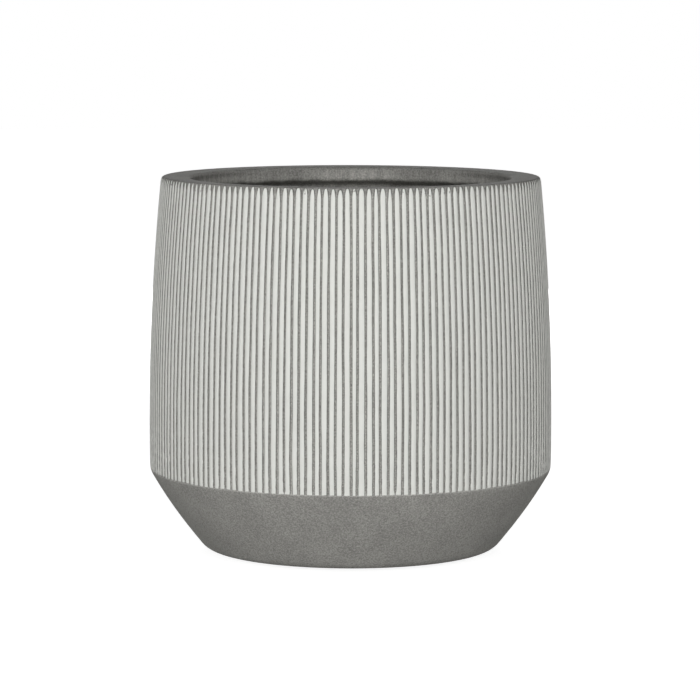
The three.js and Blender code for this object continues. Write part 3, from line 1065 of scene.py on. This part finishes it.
@dataclass(frozen=True)
class CementFinish:
    """Sandy grey fibre cement, with white wash brushed over the rib crests.

    Tones multiply the grey; those of the lip, the groove flanks and the rim's outer edge are painted light
    and shade. Steps across a rib are in millimetres inside its edge.
    """

    wash_from: float
    tips_from: float
    grey: Colour = (0.3175, 0.3125, 0.293)
    wash: Colour = (0.79, 0.797, 0.757)
    specular: float = 0.1
    roughness: Step = Step(0, 1, 0.92, 0.78)

    grain: Noise = Noise(1.1 * MM, 3, 0.65)
    grain_tone: Step = Step(0.28, 0.72, 0.7, 1.3)
    grain_relief: Step = Step(0, 1, 0, 0.16 * MM)
    fine_grain: Noise = Noise(1.1 * MM / 3, 2, 0.6)
    fine_relief: Step = Step(0, 1, 0, 0.07 * MM)
    cloud: Noise = Noise(26 * MM, 4, 0.55)
    cloud_tone: Step = Step(0.3, 0.7, 0.93, 1.07)
    streak: Noise = Noise(3.2 * MM, 3, 0.6)
    streak_scale: Scale = (1, 1, 0.07)
    streak_tone: Step = Step(0.3, 0.7, -0.16, 0.16)
    streak_relief: float = 0.5 * MM
    pinhole_spacing: float = 5.5 * MM
    pinhole_tone: Step = Step(0.045, 0.075, 0.62, 1.0)
    pinhole_relief: Step = Step(0.62, 1, -0.25 * MM, 0)
    speck_spacing: float = 2.9 * MM
    speck_tone: Step = Step(0.09, 0.16, 1.3, 1.0)
    # Painted shade: darkens the rim's outer rounding and the cement between the rib tips.
    rim_edge_painted_shade: Step = Step(0, 1, 1.0, 0.68)

    # Painted shade on the groove flanks, which lie between the low and high flank steps.
    low_flank: Step = Step(-0.95, -0.1)
    high_flank: Step = Step(0.2, 0.45, 1.0, 0.0)
    flank_painted_shade: Step = Step(0, 1, 1.0, 0.58)
    groove_haze: Step = Step(-2.9, -2.6, 1.0, 1.4)

    # Painted light and shade on the lip's inner face: paler in the middle, darker at the top of the sides and
    # under the lip. The slope makes it lighter towards its lower edge.
    lip_middle_painted_light: Step = Step(10 * MM, 36 * MM, 0.5, 0.1)
    lip_sides: Step = Step(60 * MM, 95 * MM)
    lip_side_painted_shade: Step = Step(254.5 * MM, 257.5 * MM, 0.0, -0.36)
    lip_slope: Step = Step(251 * MM, 259.5 * MM, 0.13, -0.1)
    lip_under_painted_shade: Step = Step(249 * MM, 251.2 * MM, -0.4, 0.0)

    broad: Noise = Noise(9 * MM, 3)
    thin_wash: Step = Step(0.3, 0.62, 0.93, 1.0)
    wash_coat: float = 0.06 * MM
    sand_through_wash: Step = Step(0, 1, 1.0, 0.45)
    ragged: Noise = Noise(1.5 * MM, 3, 0.6)
    ragged_scale: Scale = (1, 1, 0.3)
    ragged_swing: Step = Step(0.25, 0.75, -1, 1)
    ragged_height: float = 40 * MM
    ragged_reach: Span = (0.14, 0.05)
    crest: Step = Step(0.14, 0.24)
    chip: Noise = Noise(2.8 * MM, 1)
    chip_cover: Step = Step(0.27, 0.33, 0.3, 1.0)
    chip_fade: float = 3 * MM
    crumb: Noise = Noise(0.9 * MM, 3, 0.7)
    crumb_cover: Step = Step(0.56, 0.72, 0.0, 0.6)
    crumb_patch: Noise = Noise(14 * MM)
    crumb_patch_cover: Step = Step(0.5, 0.68, 0.08, 1.0)
    on_ribs: Step = Step(-2.4, -1.6)
    wash_tilt: float = 0.0065
    wash_end_blur: float = 0.12 * MM
    wash_end_swing: Step = Step(0.25, 0.75, -0.4 * MM, 0.4 * MM)

    def build(self) -> bpy.types.Material:
        """Makes the material.

        Returns:
            The cement and wash in one material, told apart by the rib marks.
        """
        sheet = NodeSheet(bpy.data.materials.new("cement_and_wash"))
        bare, sand = self.cement(sheet)
        cover = self.wash_cover(sheet)
        thin = sheet.ramp(sheet.noise(self.broad), self.thin_wash)
        colour = sheet.mix(sheet.math("MULTIPLY", cover, thin), bare, self.wash)
        sandy = sheet.math("MULTIPLY", sand, sheet.ramp(cover, self.sand_through_wash))
        relief = sheet.math("ADD", sandy, sheet.math("MULTIPLY", cover, self.wash_coat))
        return sheet.finish(colour, sheet.ramp(cover, self.roughness), relief, self.specular)

    def cement(self, sheet: NodeSheet) -> tuple[bpy.types.NodeSocket, bpy.types.NodeSocket]:
        """The bare cement: sand grains, soft clouds, pinholes and trowel streaks on the lip, with painted
        light and shade on the lip, the groove flanks and the rim's outer edge.

        Args:
            sheet: The material's node sheet.

        Returns:
            Its colour, and its relief in metres.
        """
        grain = sheet.noise(self.grain)
        lip = sheet.mark(Mark.LIP)
        streak = sheet.noise(self.streak, sheet.stretched(self.streak_scale))
        streaks = sheet.math("MULTIPLY", lip, sheet.ramp(streak, self.streak_tone))
        hole = sheet.ramp(sheet.cells(self.pinhole_spacing), self.pinhole_tone)
        colour = sheet.scaled(
            self.grey,
            sheet.ramp(grain, self.grain_tone),
            sheet.ramp(sheet.noise(self.cloud), self.cloud_tone),
            sheet.math("ADD", streaks, 1.0),
            # painted light and shade on the lip
            self.lip_painted_light_and_shade(sheet, lip),
            # painted shade on the groove flanks, with the haze of wash
            self.groove_haze_and_shade(sheet),
            hole,
            sheet.ramp(sheet.cells(self.speck_spacing), self.speck_tone),
            # painted shade on the rim's outer edge and between the tips
            sheet.ramp(sheet.mark(Mark.RIM_EDGE), self.rim_edge_painted_shade),
        )
        relief = sheet.math(
            "ADD",
            sheet.ramp(grain, self.grain_relief),
            sheet.ramp(sheet.noise(self.fine_grain), self.fine_relief),
            sheet.math("MULTIPLY", streaks, self.streak_relief),
            sheet.ramp(hole, self.pinhole_relief),
        )
        return colour, relief

    def groove_haze_and_shade(self, sheet: NodeSheet) -> bpy.types.NodeSocket:
        """The grooves' tone: paler floors, with a haze of wash, and flanks darkened with painted shade."""
        edge = sheet.mark(Mark.RIB_EDGE)
        flank = sheet.math("MULTIPLY", sheet.ramp(edge, self.low_flank), sheet.ramp(edge, self.high_flank))
        return sheet.math("MULTIPLY", sheet.ramp(edge, self.groove_haze), sheet.ramp(flank, self.flank_painted_shade))

    def lip_painted_light_and_shade(self, sheet: NodeSheet, lip: bpy.types.NodeSocket) -> bpy.types.NodeSocket:
        """Painted light and shade on the lip: a pale patch of painted light at the back, painted shade at the
        top of both sides and below.

        Args:
            sheet: The material's node sheet.
            lip: The share of the lip's mark.

        Returns:
            The tone.
        """
        height = sheet.axis("Z")
        aside = sheet.node("Math", "Value", {0: sheet.axis("X")}, operation="ABSOLUTE")
        side_painted_shade = sheet.ramp(height, self.lip_side_painted_shade)
        tone = sheet.math(
            "ADD",
            sheet.ramp(aside, self.lip_middle_painted_light),
            sheet.math("MULTIPLY", side_painted_shade, sheet.ramp(aside, self.lip_sides)),
            sheet.ramp(height, self.lip_slope),
            sheet.ramp(height, self.lip_under_painted_shade),
        )
        return sheet.math("ADD", sheet.math("MULTIPLY", tone, lip), 1.0)

    def wash_cover(self, sheet: NodeSheet) -> bpy.types.NodeSocket:
        """Where the white wash covers: the crests, with ragged edges and a few breaks.

        Args:
            sheet: The material's node sheet.

        Returns:
            The cover, from 0 for bare cement to 1.
        """
        edge = sheet.mark(Mark.RIB_EDGE)
        height = sheet.axis("Z")
        swing = sheet.ramp(sheet.noise(self.ragged, sheet.stretched(self.ragged_scale)), self.ragged_swing)
        wild = sheet.ramp(
            height, Step(self.wash_from, self.wash_from + self.ragged_height, *self.ragged_reach)
        )
        crest = sheet.ramp(sheet.math("ADD", edge, sheet.math("MULTIPLY", swing, wild)), self.crest)

        # Chipped tips under the rim, and crumbs of wash in patches of the grooves
        on_wall = sheet.ramp(height, Step(self.tips_from, self.tips_from + self.chip_fade, 1.0, 0.0))
        chips = sheet.ramp(sheet.noise(self.chip), self.chip_cover)
        crest = sheet.math("MULTIPLY", crest, sheet.math("MAXIMUM", on_wall, chips))
        crumbs = sheet.math(
            "MULTIPLY",
            sheet.ramp(sheet.noise(self.crumb), self.crumb_cover),
            sheet.ramp(sheet.noise(self.crumb_patch), self.crumb_patch_cover),
            sheet.ramp(edge, self.on_ribs),
        )
        return sheet.math("MULTIPLY", sheet.math("MAXIMUM", crest, crumbs), self.above_foot(sheet))

    def above_foot(self, sheet: NodeSheet) -> bpy.types.NodeSocket:
        """A step from 0 on the foot to 1 on the wall, at the wash's slightly tilted lower end.

        Args:
            sheet: The material's node sheet.

        Returns:
            The step.
        """
        tilt = sheet.math("MULTIPLY", sheet.axis("Y"), -self.wash_tilt)
        wobble = sheet.ramp(sheet.noise(self.broad), self.wash_end_swing)
        end = sheet.math("ADD", sheet.axis("Z"), tilt, wobble)
        return sheet.ramp(end, Step(self.wash_from - self.wash_end_blur, self.wash_from + self.wash_end_blur))


@dataclass(frozen=True)
class RubberFinish:
    """Matt black rubber with a faint dusty bloom."""

    name: str
    black: Colour
    bloom: Colour
    roughness: float = 0.62
    dust_roughness: float = 0.2
    specular: float = 0.4
    dust: Noise = Noise(4 * MM, 4, 0.65)
    dust_cover: Step = Step(0.42, 0.75, 0.0, 0.55)
    skin: Noise = Noise(0.35 * MM)
    skin_relief: Step = Step(0, 1, 0, 0.03 * MM)

    def build(self) -> bpy.types.Material:
        """Makes the material.

        Returns:
            The rubber.
        """
        sheet = NodeSheet(bpy.data.materials.new(self.name))
        dusty = sheet.ramp(sheet.noise(self.dust), self.dust_cover)
        colour = sheet.mix(dusty, self.black, self.bloom)
        rougher = Step(0, self.dust_cover.end, self.roughness, self.roughness + self.dust_roughness)
        relief = sheet.ramp(sheet.noise(self.skin), self.skin_relief)
        return sheet.finish(colour, sheet.ramp(dusty, rougher), relief, self.specular)


def dress(piece: bpy.types.Object, material: bpy.types.Material) -> None:
    """Gives a piece its one material."""
    piece.data.materials.clear()
    piece.data.materials.append(material)


# Studio


@dataclass(frozen=True)
class Softbox:
    """A rectangular lamp aimed at the pot. Azimuth 0 is in front, and 90 on the right."""

    name: str
    azimuth: float
    height: float
    watts: float
    distance: float = 1.9
    width: float = 0.7
    tall: float = 0.9

    def build(self, aim: Vector) -> bpy.types.Object:
        """Adds the lamp.

        Args:
            aim: The point that it faces.

        Returns:
            The lamp's object.
        """
        turn = math.radians(self.azimuth)
        spot = Vector((math.sin(turn) * self.distance, -math.cos(turn) * self.distance, self.height))
        deselect_all()
        bpy.ops.object.light_add(type="AREA", location=spot)
        lamp = bpy.context.object
        lamp.name = self.name
        lamp.rotation_euler = (aim - spot).to_track_quat("-Z", "Y").to_euler()
        lamp.data.shape = "RECTANGLE"
        lamp.data.size = self.width
        lamp.data.size_y = self.tall
        lamp.data.energy = self.watts
        lamp.visible_camera = False
        return lamp


@dataclass(frozen=True)
class PhotoCamera:
    """The camera as it was fitted to the photograph: its place and its lens."""

    distance: float = 2.550
    height: float = 0.4183
    aside: float = -0.42 * MM
    tilt_down: float = 6.232
    roll: float = 0.09
    focal_pixels: float = 3688.0

    def build(self) -> None:
        """Adds the camera and makes it the scene's."""
        deselect_all()
        turn = Matrix.Rotation(math.radians(90 - self.tilt_down), 3, "X")
        turn @= Matrix.Rotation(math.radians(self.roll), 3, "Z")
        bpy.ops.object.camera_add(
            location=(self.aside, -self.distance, self.height), rotation=turn.to_euler()
        )
        camera = bpy.context.object
        camera.data.sensor_width = SENSOR_WIDTH
        camera.data.lens = self.focal_pixels / IMAGE_SIDE * SENSOR_WIDTH
        bpy.context.scene.camera = camera


@dataclass(frozen=True)
class Studio:
    """White ground and background, softboxes in front and at the sides, a lamp behind and one above."""

    floor_radius: float = 6.0
    floor_sides: int = 96
    floor_sink: float = 0.1 * MM
    floor_colour: float = 0.47
    floor_glow: Step = Step(0.25, 0.9, 0.88, 1.0)
    floor_light: float = 0.05
    ambient: float = 0.015
    softboxes: tuple[Softbox, ...] = (
        Softbox("softbox_left", azimuth=-14, height=0.5, watts=9.3),
        Softbox("softbox_right", azimuth=14, height=0.75, watts=6.4),
        Softbox("softbox_low", azimuth=0, height=0.25, watts=9, width=1.0, tall=0.4),
        Softbox("side_lamp_left", azimuth=-65, height=0.7, watts=6.6),
        Softbox("side_lamp_right", azimuth=65, height=0.7, watts=5.6),
        Softbox("back_lamp", azimuth=180, height=0.5, watts=18, width=0.5),
    )
    mouth_lamp_height: float = 1.6
    mouth_lamp_angle: float = 8.5
    mouth_lamp_blend: float = 0.35
    mouth_lamp_radius: float = 0.02
    mouth_lamp_watts: float = 30

    def build(self, aim: Vector) -> None:
        """Adds the world, the floor, the lamps and the camera.

        Args:
            aim: The point that the lamps face.
        """
        scene = bpy.context.scene
        scene.view_settings.view_transform = "Standard"
        self.build_world(scene)
        self.build_floor()
        for softbox in self.softboxes:
            softbox.build(aim)
        self.build_mouth_lamp()
        PhotoCamera().build()

    def build_world(self, scene: bpy.types.Scene) -> None:
        """Gives a scene a world that looks white and lights softly."""
        scene.world = bpy.data.worlds.new("white_room")
        sheet = NodeSheet(scene.world)
        background = sheet.tree.nodes["Background"]
        background.inputs["Color"].default_value = (1, 1, 1, 1)
        strength = sheet.ramp(sheet.seen(), Step(0, 1, self.ambient, 1.0))
        sheet.feed(background.inputs["Strength"], strength)

    def build_floor(self) -> None:
        """A round white floor that keeps the pot's shadow and can be looked through from below."""
        deselect_all()
        bpy.ops.mesh.primitive_circle_add(
            vertices=self.floor_sides,
            radius=self.floor_radius,
            fill_type="NGON",
            location=(0, 0, -self.floor_sink),
        )
        floor = bpy.context.object
        floor.name = "studio_floor"
        dress(floor, self.floor_paint())

    def floor_paint(self) -> bpy.types.Material:
        """Paint that glows a little less near the pot, where its shadow is to show, and is clear below.

        Returns:
            The material.
        """
        sheet = NodeSheet(bpy.data.materials.new("white_floor"))
        nodes = sheet.tree.nodes
        nodes.remove(nodes["Principled BSDF"])
        distance = sheet.node("VectorMath", "Value", {0: sheet.place}, operation="LENGTH")
        shown = sheet.math("MULTIPLY", sheet.seen(), sheet.ramp(distance, self.floor_glow))
        strength = sheet.math("MAXIMUM", shown, self.floor_light)
        paint = sheet.node("BsdfDiffuse", "BSDF", {"Color": (*[self.floor_colour] * 3, 1)})
        glow = sheet.node("Emission", "Emission", {"Strength": strength})
        lit = sheet.node("AddShader", "Shader", {0: paint, 1: glow})
        clear = sheet.node("BsdfTransparent", "BSDF", {})
        from_below = sheet.node("NewGeometry", "Backfacing", {})
        both = sheet.node("MixShader", "Shader", {"Fac": from_below, 1: lit, 2: clear})
        sheet.feed(nodes["Material Output"].inputs["Surface"], both)
        return sheet.owner

    def build_mouth_lamp(self) -> None:
        """A spot above the mouth that lights the inside and passes within the rim."""
        deselect_all()
        bpy.ops.object.light_add(type="SPOT", location=(0, 0, self.mouth_lamp_height))
        lamp = bpy.context.object
        lamp.name = "mouth_lamp"
        lamp.data.energy = self.mouth_lamp_watts
        lamp.data.spot_size = math.radians(self.mouth_lamp_angle)
        lamp.data.spot_blend = self.mouth_lamp_blend
        lamp.data.shadow_soft_size = self.mouth_lamp_radius


def main() -> None:
    """Builds the planter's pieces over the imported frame, dresses them and sets up the studio."""
    logging.basicConfig(level=logging.INFO, format="%(name)s: %(message)s")
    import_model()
    shell_low, shell_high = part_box("pot_shell")
    sizes = CastingSizes(height=shell_high.z, widest_radius=shell_high.x, underside=shell_low.z)
    ribs = RibSizes()
    casting = PotCasting(sizes, ribs)
    pot = casting.build()
    wash_from = casting.ribbed_from + ribs.wash_start
    dress(pot, CementFinish(wash_from, tips_from=sizes.height - ribs.tip_length).build())
    place(pot, Body.POT, Slot.CEMENT, "pot_shell")

    plug_low, plug_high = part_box("drain_plug")
    stopper = DrainStopper(StopperSizes(plug_high.z, plug_low.z, plug_high.x)).build()
    black, bloom = (0.018, 0.018, 0.019), (0.045, 0.045, 0.046)
    dress(stopper, RubberFinish("stopper_rubber", black, bloom).build())
    place(stopper, Body.PLUG, Slot.PLUG_RUBBER, "drain_plug")

    black, bloom = (0.03, 0.03, 0.031), (0.06, 0.06, 0.06)
    pad_rubber = RubberFinish("pad_rubber", black, bloom, roughness=0.7).build()
    for pad, node in zip(FloorPads().build(), FloorPads.nodes):
        dress(pad, pad_rubber)
        place(pad, Body.POT, Slot.PAD_RUBBER, node)

    Studio().build(aim=Vector((0, 0, sizes.height / 2)))


if __name__ == "__main__":
    main()
